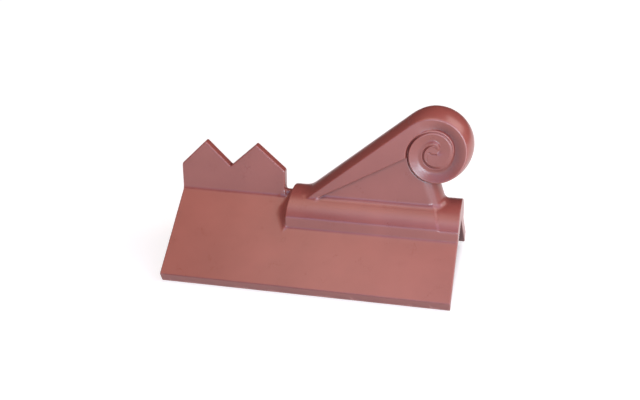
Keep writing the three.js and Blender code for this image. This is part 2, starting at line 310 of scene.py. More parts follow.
@dataclass(frozen=True)
class Coil:
    """The spiral rim of the volute.

    Turns are degrees from straight up, clockwise as seen from the near side.
    """

    saddle: Saddle
    setback: float = 45.0
    rise: float = 78.7
    radius: float = 55.5
    pitch: float = 21.3
    drift_x: float = 0.55
    drift_z: float = 2.57
    oval: float = 1.3
    oval_turn: float = 19.4
    join_turn: float = -40.47
    end_turn: float = 798.0

    @property
    def centre(self) -> Point:
        """Place (x, z) of the spiral's centre at its start."""
        return self.saddle.tile.length / 2.0 - self.setback, self.saddle.crown + self.rise

    def rim_radius(self, turn: np.ndarray) -> np.ndarray:
        """Radius of the rim at turns."""
        oval = self.oval * np.cos(2.0 * np.radians(turn - self.oval_turn))
        return self.radius - self.pitch * turn / FULL_TURN + oval

    def middle(self, turn: float) -> Point:
        """The spiral's centre when the rim has come to a turn.

        Args:
            turn: The turn in degrees.

        Returns:
            The centre's place (x, z).
        """
        turns = turn / FULL_TURN
        x, z = self.centre
        return x + self.drift_x * turns, z + self.drift_z * turns

    def point(self, turn: float) -> Point:
        """The rim's point at a turn.

        Args:
            turn: The turn in degrees.

        Returns:
            The point (x, z).
        """
        angle = math.radians(turn)
        reach = float(self.rim_radius(np.float64(turn)))
        x, z = self.middle(turn)
        return x + reach * math.sin(angle), z + reach * math.cos(angle)

    def place(self, x: np.ndarray, z: np.ndarray, whorl: int) -> tuple[np.ndarray, np.ndarray]:
        """Where points stand against one whorl of the rim.

        Args:
            x: Places along the ridge.
            z: Heights.
            whorl: 0 for the outer whorl.

        Returns:
            The turn of each point on that whorl, and how far inside the rim it is.
        """
        centre_x, centre_z = self.centre
        turn = np.degrees(np.arctan2(x - centre_x, z - centre_z))
        turn = (turn - self.join_turn) % FULL_TURN + self.join_turn + FULL_TURN * whorl
        for _ in range(2):
            turns = turn / FULL_TURN
            away_x = x - centre_x - self.drift_x * turns
            away_z = z - centre_z - self.drift_z * turns
            exact = np.degrees(np.arctan2(away_x, away_z))
            turn = turn + (exact - turn + FULL_TURN / 2.0) % FULL_TURN - FULL_TURN / 2.0
        return turn, self.rim_radius(turn) - np.hypot(away_x, away_z)


@dataclass(frozen=True)
class Groove:
    """The line that parts a whorl from the next one in, deep at the left and a thin cut over the top.

    Places along it are degrees from its start. The pairs of sizes are those at the left and over the top, and
    an inset is how far the groove's middle lies inside the coil's curve.
    """

    start: float
    depths: Span
    widths: Span
    insets: Span
    lips: Span
    shift: Span
    closing: Span
    thinning: Span = (95.0, 175.0)
    opening: float = 60.0
    edge_place: float = 2.1
    edge_width: float = 0.9

    def lip(self, turn: np.ndarray) -> np.ndarray:
        """How far inside the coil's curve the groove's outer lip lies."""
        return blend(self.lips, ramp(turn - self.start, *self.shift))

    def cut(self, turn: np.ndarray, inside: np.ndarray) -> np.ndarray:
        """Depth that the groove adds.

        Args:
            turn: Turns on the coil.
            inside: Distances inside its curve.

        Returns:
            Depths in millimetres.
        """
        along = turn - self.start
        thin = ramp(along, *self.thinning)
        middle = blend(self.insets, ramp(along, *self.shift))
        strength = ramp(along, 0.0, self.opening) * (1.0 - ramp(along, *self.closing))
        away = (inside - middle) / blend(self.widths, thin)
        return strength * blend(self.depths, thin) * np.exp(-(away**2))

    def edges(self, turn: np.ndarray, inside: np.ndarray) -> np.ndarray:
        """Share of the two painted highlight lines along the groove's edges over the top.

        Args:
            turn: Turns on the coil.
            inside: Distances inside its curve.

        Returns:
            Shares from 0 to 1.
        """
        along = turn - self.start
        strength = ramp(along, *self.thinning) * (1.0 - ramp(along, *self.closing))
        away = np.abs(inside - self.insets[1]) / self.widths[1]
        return strength * np.exp(-(((away - self.edge_place) / self.edge_width) ** 2))


@dataclass(frozen=True)
class Score:
    """A short scratch in the clay, between points (x, z) set off from the coil's centre."""

    points: tuple[Point, ...]
    depth: float
    width: float

    def cut(self, x: np.ndarray, z: np.ndarray) -> np.ndarray:
        """Depth of the scratch at places set off from the coil's centre.

        Args:
            x: Places along the ridge.
            z: Heights.

        Returns:
            Depths in millimetres.
        """
        nearest = np.full_like(x, np.inf)
        for (start_x, start_z), (end_x, end_z) in zip(self.points, self.points[1:]):
            run, rise = end_x - start_x, end_z - start_z
            along = (x - start_x) * run + (z - start_z) * rise
            share = np.clip(along / (run * run + rise * rise), 0.0, 1.0)
            nearest = np.minimum(nearest, np.hypot(x - start_x - share * run, z - start_z - share * rise))
        return self.depth * np.exp(-((nearest / self.width) ** 2))


@dataclass(frozen=True)
class Relief:
    """The carving of the volute's faces, as a depth below the face.

    Dishes and their falls go from the first of the pair to the second under the coil, and walls over its top.
    The pairs named turns or ends are the degrees along the coil over which a form starts or dies away.
    """

    coil: Coil
    dishes: Span = (5.2, 6.8)
    dish_falls: Span = (13.0, 19.5)
    dish_power: float = 4.0
    eye_depth: float = 3.2
    hook_depth: float = 1.0
    rim: float = 1.9
    bead: float = 3.0
    walls: Span = (3.0, 2.6)
    easy_wall: float = 6.0
    calm: Span = (3.0, 6.5)
    groove_start: float = 172.0
    eye_groove_start: float = 497.0
    panel_groove: float = 2.0
    panel_reach: float = 1.5
    panel_turns: Span = (175.0, 205.0)
    panel_ends: Span = (255.0, 275.0)
    rim_edge: float = 0.9
    rim_ends: Span = (100.0, 150.0)
    bead_turns: Span = (105.0, 190.0)
    bead_ends: Span = (300.0, 355.0)
    eye_turns: Span = (440.0, 560.0)
    hook_turns: Span = (650.0, 720.0)
    under_turns: Span = (110.0, 220.0)
    ease_turns: Span = (330.0, 540.0)
    easy_wall_turns: Span = (440.0, 510.0)
    easy_wall_ends: Span = (700.0, 770.0)
    sunk_lip: Span = (-0.5, 1.5)
    sunk_start: float = 20.0
    sunk_ends: Span = (120.0, 200.0)
    start_fade: float = 65.0
    end_fade: float = 68.0
    eye_opening: float = 98.0

    @property
    def grooves(self) -> tuple[Groove, Groove]:
        """The grooves between the whorls.

        Returns:
            The outer one, round the disc, and the inner one, round the eye.
        """
        outer = Groove(
            start=self.groove_start,
            depths=(4.6, 1.3),
            widths=(1.7, 0.95),
            insets=(-1.1, 1.9),
            lips=(0.0, -0.5),
            shift=(95.0, 185.0),
            closing=(215.0, 285.0),
        )
        inner = Groove(
            start=self.eye_groove_start,
            depths=(2.4, 0.9),
            widths=(1.25, 0.85),
            insets=(0.2, 4.0),
            lips=(-0.6, 1.6),
            shift=(55.0, 235.0),
            closing=(220.0, 275.0),
            thinning=(130.0, 210.0),
        )
        return outer, inner

    @property
    def scores(self) -> tuple[Score, Score]:
        """The scratches in the near side's eye.

        Returns:
            The short tick and the fainter trace under it.
        """
        tick = Score(((-7.2, 3.0), (-3.4, 0.3), (3.7, 0.4)), 1.2, 0.8)
        trace = Score(((-8.7, -1.0), (-10.4, -6.0), (-9.4, -10.4)), 0.4, 0.7)
        return tick, trace

    def past_top(self, turn: np.ndarray) -> np.ndarray:
        """How far a whorl's edge has changed from a wall into the broad bead that it is over the top.

        Args:
            turn: Turns on the coil.

        Returns:
            Shares from 0 to 1.
        """
        along = (turn - self.groove_start) % FULL_TURN
        bead = ramp(along, *self.bead_turns) * (1.0 - ramp(along, *self.bead_ends))
        return bead * (turn > self.groove_start)

    def crest(self, turn: np.ndarray) -> np.ndarray:
        """Depth of the coil's edge at turns: it sinks to the eye and stands up again in the hook over it."""
        sunk = self.eye_depth * ramp(turn, *self.eye_turns)
        return sunk + (self.hook_depth - sunk) * ramp(turn, *self.hook_turns)

    def band(self, turn: np.ndarray, inside: np.ndarray, outside: np.ndarray) -> np.ndarray:
        """Depth of one band of the coil.

        Args:
            turn: Turn of the rim that bounds the band outside.
            inside: Distance inside that rim.
            outside: Distance outside the next rim in.

        Returns:
            Depths below the face.
        """
        start, last = self.coil.join_turn, self.coil.end_turn - FULL_TURN
        easing = ramp(turn, *self.ease_turns)
        under = ramp(turn, *self.under_turns)
        depth = blend(self.dishes, under) * (1.0 - easing) + self.eye_depth * easing
        fall = blend(self.dish_falls, under)
        from_rim = np.maximum(inside - self.rim - self.bead * self.past_top(turn), 0.0) / fall
        crest = self.crest(turn)
        sinking = from_rim / np.power(1.0 + np.power(from_rim, self.dish_power), 1.0 / self.dish_power)
        floor = crest + (depth - crest) * sinking
        floor = floor * ramp(turn, start, start + self.start_fade)
        next_turn = turn + FULL_TURN
        wall = blend(self.walls, self.past_top(next_turn))
        easy = ramp(next_turn, *self.easy_wall_turns) * (1.0 - ramp(next_turn, *self.easy_wall_ends))
        wall = wall + self.easy_wall * easy
        outer, inner = self.grooves
        lip = np.where(next_turn < inner.start, outer.lip(next_turn), inner.lip(next_turn))
        rise = (1.0 - ramp(turn, last - self.end_fade, last)) * (1.0 - ramp(outside + lip, 0.0, wall))
        return floor + (np.minimum(self.crest(next_turn), floor) - floor) * rise

    def face(self, x: np.ndarray, z: np.ndarray) -> np.ndarray:
        """Depth of the scroll's carved face.

        Args:
            x: Places along the ridge.
            z: Heights.

        Returns:
            Depths below the plain face.
        """
        whorls = [self.coil.place(x, z, whorl) for whorl in range(3)]
        depth = np.zeros_like(x)
        for (turn, inside), (_, next_inside) in zip(whorls, whorls[1:]):
            depth = np.where(inside > 0.0, self.band(turn, inside, -next_inside), depth)
        turn, inside = whorls[2]
        opens = ramp(turn, self.coil.end_turn - self.eye_opening, self.coil.end_turn)
        crest = self.crest(turn)
        from_lip = inside - self.grooves[1].insets[1]
        eye = crest + (self.eye_depth - crest) * ramp(from_lip, 0.0, self.walls[0])
        depth = np.where((inside > 0.0) & (turn < self.coil.end_turn), eye + (depth - eye) * opens, depth)
        end_x, end_z = self.coil.middle(self.coil.end_turn)
        open_floor = 1.0 - ramp(np.hypot(x - end_x, z - end_z), *self.calm)
        depth = depth + (self.eye_depth - depth) * open_floor
        for groove in self.grooves:
            for turn, inside in whorls:
                depth = depth + groove.cut(turn, inside)
        return depth

    def sunk(self, x: np.ndarray, z: np.ndarray) -> np.ndarray:
        """How far the outer band has sunk over the top and down the right side, which sets the painted shade
        there.

        Args:
            x: Places along the ridge.
            z: Heights.

        Returns:
            Shares from 0 to 1.
        """
        turn, _ = self.coil.place(x, z, 0)
        _, next_inside = self.coil.place(x, z, 1)
        share = np.clip(self.face(x, z) / self.dishes[0], 0.0, 1.0) * ramp(-next_inside, *self.sunk_lip)
        return share * ramp(turn, self.coil.join_turn, self.sunk_start) * (1.0 - ramp(turn, *self.sunk_ends))

    def edges(self, x: np.ndarray, z: np.ndarray) -> np.ndarray:
        """Share of the painted highlight lines beside the thin grooves and along the rim's top.

        Args:
            x: Places along the ridge.
            z: Heights.

        Returns:
            Shares from 0 to 1.
        """
        whorls = [self.coil.place(x, z, whorl) for whorl in range(3)]
        turn, inside = whorls[0]
        rim = ramp(turn, self.coil.join_turn, 0.0) * (1.0 - ramp(turn, *self.rim_ends))
        share = rim * np.exp(-(((inside - self.rim_edge) / self.rim_edge) ** 2))
        for groove in self.grooves:
            for turn, inside in whorls:
                share = np.maximum(share, groove.edges(turn, inside))
        return share

    def scratches(self, x: np.ndarray, z: np.ndarray) -> np.ndarray:
        """Depth of the scratches at places (x, z)."""
        centre_x, centre_z = self.coil.centre
        return sum(score.cut(x - centre_x, z - centre_z) for score in self.scores)

    def panel(self, x: np.ndarray, z: np.ndarray) -> np.ndarray:
        """Depth of the groove that the web's panel has round the disc.

        Args:
            x: Places along the ridge.
            z: Heights.

        Returns:
            Depths below the panel.
        """
        turn, inside = self.coil.place(x, z, 0)
        reach = ramp(turn, *self.panel_turns) * (1.0 - ramp(turn, *self.panel_ends))
        return self.panel_groove * reach * np.exp(-((np.maximum(-inside, 0.0) / self.panel_reach) ** 2))


@dataclass(frozen=True)
class Scroll:
    """The arm and volute, with rounded outer faces, over a thinner web.

    The crowns are the rises of the arm's and of the volute's outer face. Over the last lead_in degrees before
    the joint the outline is that of the whorl which the arm leads to, so that the two meet without a step.
    """

    relief: Relief
    thickness: float = 60.0
    crowns: Span = (7.5, 10.5)
    crown_end: float = 280.0
    arm_slope: float = 39.6
    crease_slope: float = 29.5
    crease_turn: float = 258.0
    web_thickness: float = 52.0
    web_lap: float = 6.0
    web_crown: float = 11.0
    arris: float = 1.7
    web_arris: float = 12.0
    web_fill: float = 1.2
    lead_in: float = 30.0
    lead_drift: float = 0.8
    relief_margin: float = 15.0
    relief_reach: float = 14.0
    near_left: float = 20.0
    near_side: float = 52.0
    near_under: float = 12.0

    @property
    def coil(self) -> Coil:
        """The rim's spiral."""
        return self.relief.coil

    def rise_at(self, turn: np.ndarray) -> np.ndarray:
        """Rise of the outer face at turns: it swells from the arm to the top and dies away over the web."""
        swelling = blend(self.crowns, ramp(turn, self.coil.join_turn, 0.0))
        return swelling * (1.0 - ramp(turn, 0.0, self.crown_end))

    @staticmethod
    def bulge(y: np.ndarray, half: float, rise: float) -> np.ndarray:
        """How far a rounded outer face stands out from its edges.

        Args:
            y: Places across the ridge.
            half: Half the body's thickness.
            rise: How far the face stands out at its middle.

        Returns:
            Distances, 0 at the edges and beyond.
        """
        radius = (half * half + rise * rise) / (2.0 * rise)
        across = np.minimum(np.abs(y), half)
        return np.sqrt(radius * radius - across * across) - (radius - rise)

    @staticmethod
    def over_line(x: np.ndarray, z: np.ndarray, through: Point, slope: float) -> np.ndarray:
        """Distance above the line through a point (x, z) with a slope in degrees."""
        angle = math.radians(slope)
        return (z - through[1]) * math.cos(angle) - (x - through[0]) * math.sin(angle)

    def relief_at(self, x: np.ndarray, y: np.ndarray, z: np.ndarray) -> np.ndarray:
        """Depth of the relief, worked out only near the volute's faces.

        Args:
            x: Places along the ridge.
            y: Places across it.
            z: Heights.

        Returns:
            Depths below the scroll's faces, 0 away from the volute.
        """
        centre_x, centre_z = self.coil.centre
        near = np.hypot(x - centre_x, z - centre_z) < self.coil.radius + self.relief_margin
        near &= np.abs(y) > self.thickness / 2.0 - self.relief_reach
        depth = np.zeros_like(x)
        depth[near] = self.relief.face(x[near], z[near])
        near &= y < 0.0
        depth[near] += self.relief.scratches(x[near], z[near])
        return depth

    def near(self, x: np.ndarray, y: np.ndarray, z: np.ndarray) -> np.ndarray:
        """Finds the points that are near enough to the scroll for it to matter.

        Args:
            x: Places along the ridge.
            y: Places across it.
            z: Heights.

        Returns:
            True for the near ones.
        """
        saddle = self.coil.saddle
        near = x > saddle.tile.length / 2.0 - saddle.length - self.near_left
        return near & (np.abs(y) < self.near_side) & (z > saddle.band_top - self.near_under)

    def distance(self, x: np.ndarray, y: np.ndarray, z: np.ndarray) -> np.ndarray:
        """Distance to the arm, volute and web, negative inside them.

        Args:
            x: Places along the ridge.
            y: Places across it.
            z: Heights.

        Returns:
            Distances in millimetres.
        """
        half = self.thickness / 2.0
        share = self.bulge(y, half, self.crowns[1]) / self.crowns[1]
        joint = self.coil.point(self.coil.join_turn)
        arm = math.radians(self.arm_slope)
        arm_top = self.over_line(x, z, joint, self.arm_slope) - share * self.crowns[0]
        beyond = (x - joint[0]) * math.cos(arm) + (z - joint[1]) * math.sin(arm)
        crease = -self.over_line(x, z, self.coil.point(self.crease_turn), self.crease_slope)
        plate = np.maximum(np.maximum(arm_top, crease), beyond)
        turn, inside = self.coil.place(x, z, 0)
        early = turn > FULL_TURN + self.coil.join_turn - self.lead_in
        turn_out = np.where(early, turn - FULL_TURN, turn)
        inside_out = np.where(early, inside + self.coil.pitch - self.coil.drift_z * self.lead_drift, inside)
        disc = np.maximum(-inside_out - share * self.rise_at(turn_out), arm_top)
        outline = np.minimum(plate, disc)
        depth = self.relief_at(x, y, z)
        scroll = soft_max(outline, np.abs(y) - half + depth, self.arris)

        web_half = self.web_thickness / 2.0
        web_right = x - self.coil.saddle.web_end(z)
        lean = math.radians(self.coil.saddle.web_lean)
        web_right = web_right * math.cos(lean) - self.bulge(y, web_half, self.web_crown)
        lapped = np.maximum(-crease - self.web_lap, z - self.coil.centre[1])
        lapped = np.where(inside > 0.0, np.minimum(lapped, z - self.coil.centre[1]), lapped)
        panel = np.abs(y) - np.minimum(web_half - self.relief.panel(x, z), half - depth)
        web = soft_max(panel, web_right, self.web_arris)
        seat = -self.coil.saddle.let_in - self.coil.saddle.tile.above(y, z)
        web = np.maximum(np.maximum(web, lapped), seat)
        return soft_min(scroll, web, self.web_fill)


@dataclass(frozen=True)
class Dint:
    """A small pit or chip in the fired skin."""

    place: tuple[float, float, float]
    radius: float
    depth: float
    pale: bool

    def share(self, x: np.ndarray, y: np.ndarray, z: np.ndarray) -> np.ndarray:
        """How deep in the dint points are, from 0 outside it to 1 at its middle."""
        away = (x - self.place[0]) ** 2 + (y - self.place[1]) ** 2 + (z - self.place[2]) ** 2
        return np.exp(-away / self.radius**2)


@dataclass(frozen=True)
class Casting:
    """The whole piece: tile, comb, saddle and scroll under one skin.

    The saddle's fillets are those along its sides and round its left end. The pairs named reach lie along the
    ridge and those named sides across it, and a fillet changes its size between their two places.
    """

    scroll: Scroll
    comb: Comb
    dints: tuple[Dint, ...] = (
        Dint((169.6, -48.0, 95.5), 1.7, 1.0, pale=False),
        Dint((173.8, -26.0, 119.6), 1.6, 0.3, pale=True),
        Dint((222.7, -60.0, 80.6), 2.0, 0.5, pale=True),
        Dint((-56.4, -7.5, 121.0), 1.6, 0.4, pale=True),
    )
    comb_fillet: float = 4.0
    saddle_fillets: Span = (2.6, 9.0)
    end_reach: Span = (-6.0, 2.0)
    end_sides: Span = (2.0, 12.0)
    web_fillet: float = 6.0
    arm_sides: Span = (22.0, 31.0)
    toe_fillet: float = 1.0
    toe_reach: Span = (25.0, 60.0)
    toe_side_fillet: float = -4.6
    toe_side_reach: Span = (20.0, 50.0)
    heel_fillet: float = 3.0
    heel_sides: Span = (9.0, 30.0)
    heel_reach: Span = (-55.0, -40.0)
    ledge_rise: float = 4.0
    ledge_half: float = 4.5
    ledge_overlap: float = 4.0
    ledge_arris: float = 2.0
    ledge_fillet: float = 8.0
    let_in: float = 8.0
    end_arris: float = 1.7
    ripple: float = 0.16
    band_shade: float = 0.65
    under_edge: Span = (-1.6, 0.0)
    foot_shade: float = 0.45
    foot_edge: Span = (-1.6, -0.4)
    # Strength of the painted highlight along the carving's edges.
    edge_highlight: float = 0.75
    face_margin: float = 1.0
    face_reach: float = 9.0

    @property
    def saddle(self) -> Saddle:
        """The block under the scroll."""
        return self.scroll.coil.saddle

    @property
    def left(self) -> float:
        """Place along the ridge of the saddle's left end."""
        return self.saddle.tile.length / 2.0 - self.saddle.length

    def ledge(self, x: np.ndarray, y: np.ndarray, z: np.ndarray) -> np.ndarray:
        """Distance to the low ledge on the ridge between the comb and the saddle.

        Args:
            x: Places along the ridge.
            y: Places across it.
            z: Heights.

        Returns:
            Distances, negative inside the ledge.
        """
        tile = self.saddle.tile
        comb_end = self.comb.length - tile.length / 2.0
        middle, half = (comb_end + self.left) / 2.0, (self.left - comb_end) / 2.0
        ledge = np.maximum(np.abs(x - middle) - half - self.ledge_overlap, np.abs(y) - self.ledge_half)
        ledge = np.maximum(ledge, tile.ridge_top - self.let_in - z)
        return soft_max(ledge, z - tile.ridge_top - self.ledge_rise, self.ledge_arris)

    def fillet_under_scroll(self, x: np.ndarray, y: np.ndarray) -> np.ndarray:
        """Reach of the fillet under the scroll: tight beside the arm's tip, wide at the web's foot.

        Args:
            x: Places along the ridge.
            y: Places across it.

        Returns:
            Reaches in millimetres.
        """
        under_arm = 1.0 - ramp(np.abs(y), *self.arm_sides)
        toe = under_arm * (1.0 - ramp(x - self.left, *self.toe_reach))
        toe_side = (1.0 - under_arm) * (1.0 - ramp(x - self.left, *self.toe_side_reach))
        heel = ramp(x - self.saddle.tile.length / 2.0, *self.heel_reach)
        heel = heel * (1.0 - ramp(np.abs(y), *self.heel_sides))
        toes = self.toe_side_fillet * toe_side + self.toe_fillet * toe
        return self.web_fillet + toes + self.heel_fillet * heel

    @staticmethod
    def wave(x: np.ndarray, y: np.ndarray, z: np.ndarray) -> np.ndarray:
        """Slow unevenness of the pressed skin: three crossed waves, each bent by another.

        Args:
            x: Places along the ridge.
            y: Places across it.
            z: Heights.

        Returns:
            Shares from 0 to 1.
        """
        along = np.sin(x * 0.11 + 1.3 * np.sin(y * 0.07 + 0.6))
        upward = np.sin(z * 0.13 + 0.9 * np.sin(x * 0.05 + 2.0))
        across = np.sin(y * 0.17 + 0.8 * np.sin(z * 0.09))
        return 0.5 + (along + upward + across) / 6.0

    def distance(self, x: np.ndarray, y: np.ndarray, z: np.ndarray) -> np.ndarray:
        """Distance to the piece, negative inside it.

        Args:
            x: Places along the ridge.
            y: Places across it.
            z: Heights.

        Returns:
            Distances in millimetres.
        """
        tile = self.saddle.tile
        body = soft_min(tile.distance(y, z), self.ledge(x, y, z), self.ledge_fillet)
        at_end = (1.0 - ramp(x - self.left, *self.end_reach)) * ramp(np.abs(y), *self.end_sides)
        body = soft_min(body, self.saddle.distance(x, y, z), blend(self.saddle_fillets, at_end))
        body = soft_min(body, self.comb.distance(x, y, z), self.comb_fillet)
        body = soft_max(body, np.abs(x) - tile.length / 2.0, self.end_arris)
        near = self.scroll.near(x, y, z)
        scroll = self.scroll.distance(x[near], y[near], z[near])
        body[near] = soft_min(body[near], scroll, self.fillet_under_scroll(x[near], y[near]))
        pitted = sum(dint.depth * dint.share(x, y, z) for dint in self.dints)
        return body + self.ripple * self.wave(x, y, z) + pitted

    def on_faces(self, x: np.ndarray, y: np.ndarray, z: np.ndarray) -> np.ndarray:
        """Finds the points on the volute's carved faces.

        Args:
            x: Places along the ridge.
            y: Places across it.
            z: Heights.

        Returns:
            True for points on them.
        """
        centre_x, centre_z = self.scroll.coil.centre
        near = np.hypot(x - centre_x, z - centre_z) < self.scroll.coil.radius + self.face_margin
        return near & (np.abs(y) > self.scroll.thickness / 2.0 - self.face_reach)

    def painted_shade_share(self, x: np.ndarray, y: np.ndarray, z: np.ndarray) -> np.ndarray:
        """Painted shade on the open underside, the feet's faces and the coil's sunk outer band: how far the
        skin is darkened.

        Args:
            x: Places along the ridge.
            y: Places across it.
            z: Heights.

        Returns:
            Shares from 0 to 1.
        """
        tile = self.saddle.tile
        below = (tile.hollow_top - math.tan(tile.dip) * np.abs(y) - z) * math.cos(tile.dip)
        # Painted shade on the feet's faces.
        foot = self.foot_shade * ramp(tile.past_foot(y, z), *self.foot_edge)
        share = np.maximum(ramp(below, *self.under_edge), foot)
        near = self.on_faces(x, y, z)
        # Painted shade on the coil's sunk outer band.
        share[near] = self.band_shade * self.scroll.relief.sunk(x[near], z[near])
        return share

    def wear_and_highlight(self, x: np.ndarray, y: np.ndarray, z: np.ndarray) -> np.ndarray:
        """How pale the skin is: rubbed pale at the chips, with painted highlight along the carving's edges.

        Args:
            x: Places along the ridge.
            y: Places across it.
            z: Heights.

        Returns:
            Shares from 0 to 1.
        """
        share = sum(dint.share(x, y, z) for dint in self.dints if dint.pale)
        near = self.on_faces(x, y, z)
        share[near] += self.edge_highlight * self.scroll.relief.edges(x[near], z[near])
        return share


def axis(*stretches: tuple[float, float, float]) -> np.ndarray:
    """Grid lines along one axis.

    Args:
        stretches: Start, end and spacing of each stretch, in order and without gaps.

    Returns:
        The places of the lines.
    """
    lines = []
    for start, end, spacing in stretches:
        count = max(1, round((end - start) / spacing))
        lines.append(np.linspace(start, end, count, endpoint=False))
    lines.append(np.array([stretches[-1][1]]))
    return np.concatenate(lines)


@dataclass(frozen=True)
class Mesher:
    """Draws the skin of a distance field on a grid that is finer where the carving is."""

    casting: Casting
    block: int = 6
    chunk: int = 150_000
    margin: float = 2.0
    slack: float = 1.25
    least_slope: float = 0.2

    def lines(self) -> Lines:
        """Grid lines, close at the arrises and over the carving and wide where the skin is plain.

        Returns:
            The lines along x, y and z.
        """
        tile = self.casting.saddle.tile
        end = tile.length / 2.0
        centre_x, centre_z = self.casting.scroll.coil.centre
        x = axis(
            (-end - 3.0, -end + 6.0, 0.9),
            (-end + 6.0, -58.0, 1.7),
            (-58.0, 0.0, 1.1),
            (0.0, centre_x - 60.0, 1.5),
            (centre_x - 60.0, centre_x - 16.0, 0.85),
            (centre_x - 16.0, centre_x + 12.0, 0.6),
            (centre_x + 12.0, end + 18.0, 0.85),
        )
        half = axis(
            (0.0, 6.0, 1.5),
            (6.0, 10.0, 0.8),
            (10.0, 22.0, 1.4),
            (22.0, 33.0, 0.7),
            (33.0, 48.0, 1.4),
            (48.0, 55.0, 0.8),
            (55.0, 116.0, 2.4),
            (116.0, 135.0, 1.0),
        )
        y = np.concatenate([-half[:0:-1], half])
        z = axis(
            (-3.0, 20.0, 1.0),
            (20.0, 70.0, 2.2),
            (70.0, centre_z - 60.0, 1.1),
            (centre_z - 60.0, centre_z - 10.0, 0.9),
            (centre_z - 10.0, centre_z + 16.0, 0.6),
            (centre_z + 16.0, centre_z + 70.0, 0.9),
        )
        return x, y, z

    def field_at(self, points: np.ndarray) -> np.ndarray:
        """Distances at points, worked out a chunk at a time.

        Args:
            points: Places in millimetres.

        Returns:
            One distance for each point.
        """
        parts = []
        for start in range(0, len(points), self.chunk):
            x, y, z = points[start : start + self.chunk].T
            parts.append(self.casting.distance(x, y, z))
        return np.concatenate(parts)

    def sample(self, x: np.ndarray, y: np.ndarray, z: np.ndarray) -> np.ndarray:
        """Distances on the grid, exact near the skin and only the right sign away from it.

        Args:
            x: Grid lines along x.
            y: Grid lines along y.
            z: Grid lines along z.

        Returns:
            The distances, one for each crossing of the lines.
        """
        starts = [np.arange(0, len(lines), self.block) for lines in (x, y, z)]
        lows = [lines[at] for lines, at in zip((x, y, z), starts)]
        highs = [lines[np.minimum(at + self.block, len(lines) - 1)] for lines, at in zip((x, y, z), starts)]
        middles = np.stack(np.meshgrid(*[(a + b) / 2.0 for a, b in zip(lows, highs)], indexing="ij"), axis=-1)
        sides = np.meshgrid(*[b - a for a, b in zip(lows, highs)], indexing="ij")
        reach = np.sqrt(sum(side * side for side in sides)) / 2.0
        rough = self.field_at(middles.reshape(-1, 3)).reshape(reach.shape)
        near = np.abs(rough) < self.slack * reach + self.margin
        field_values = rough
        for place in range(3):
            near = np.repeat(near, self.block, axis=place)
            field_values = np.repeat(field_values, self.block, axis=place)
        near = near[: len(x), : len(y), : len(z)]
        field_values = field_values[: len(x), : len(y), : len(z)].astype(np.float32)
        i, j, k = np.nonzero(near)
        field_values[i, j, k] = self.field_at(np.stack([x[i], y[j], z[k]], axis=-1))
        return field_values

    @staticmethod
    def net(lines: Lines, values: np.ndarray) -> tuple[np.ndarray, np.ndarray]:
        """Surface net: one vertex in each cell that the skin passes through, and a face across each cut edge.

        Args:
            lines: Grid lines along x, y and z.
            values: Distances at the crossings of the lines.

        Returns:
            Vertices in millimetres and faces of four vertices, wound outwards.
        """
        inside = values < 0.0
        cells = tuple(count - 1 for count in values.shape)
        total = np.zeros(cells + (3,), dtype=np.float32)
        hits = np.zeros(cells, dtype=np.int16)
        cuts = []
        for along in range(3):
            low = [slice(None)] * 3
            high = [slice(None)] * 3
            low[along], high[along] = slice(0, -1), slice(1, None)
            cut = inside[tuple(low)] != inside[tuple(high)]
            at = np.argwhere(cut)
            before = values[tuple(low)][cut]
            after = values[tuple(high)][cut]
            share = before / (before - after)
            place = np.stack([lines[side][at[:, side]] for side in range(3)], axis=-1).astype(np.float32)
            step = (lines[along][at[:, along] + 1] - lines[along][at[:, along]]) * share
            place[:, along] += step
            others = [side for side in range(3) if side != along]
            for first in (0, 1):
                for second in (0, 1):
                    cell = at.copy()
                    cell[:, others[0]] -= first
                    cell[:, others[1]] -= second
                    fits = np.all((cell >= 0) & (cell < np.array(cells)), axis=1)
                    spot = tuple(cell[fits].T)
                    np.add.at(total, spot, place[fits])
                    np.add.at(hits, spot, 1)
            cuts.append((along, at, before < 0.0))
        used = hits > 0
        number = np.full(cells, -1, dtype=np.int64)
        number[used] = np.arange(int(used.sum()))
        vertices = total[used] / hits[used][:, None]
        faces = []
        for along, at, leaves in cuts:
            first, second = [(1, 2), (2, 0), (0, 1)][along]
            ring = []
            for back_first, back_second in ((1, 1), (0, 1), (0, 0), (1, 0)):
                cell = at.copy()
                cell[:, first] -= back_first
                cell[:, second] -= back_second
                ring.append(number[tuple(cell.T)])
            quad = np.stack(ring, axis=-1)
            faces.append(np.where(leaves[:, None], quad, quad[:, ::-1]))
        return vertices.astype(np.float64), np.concatenate(faces)

    def slope_at(self, points: np.ndarray, step: float = 0.3) -> np.ndarray:
        """Gradient of the distance at points.

        Args:
            points: Places in millimetres.
            step: Half the span that the gradient is measured over.

        Returns:
            One vector for each point.
        """
        slopes = []
        for side in range(3):
            move = np.zeros(3)
            move[side] = step
            slopes.append((self.field_at(points + move) - self.field_at(points - move)) / (2.0 * step))
        return np.stack(slopes, axis=-1)

    def settle(self, points: np.ndarray, limit: float) -> np.ndarray:
        """Points moved onto the skin, each by no more than a limit.

        Args:
            points: Places near the skin.
            limit: The longest move.

        Returns:
            The moved points.
        """
        slope = self.slope_at(points)
        square = np.maximum((slope * slope).sum(axis=1), self.least_slope)
        move = -slope * (self.field_at(points) / square)[:, None]
        length = np.linalg.norm(move, axis=1, keepdims=True)
        return points + move * np.minimum(1.0, limit / np.maximum(length, TINY))


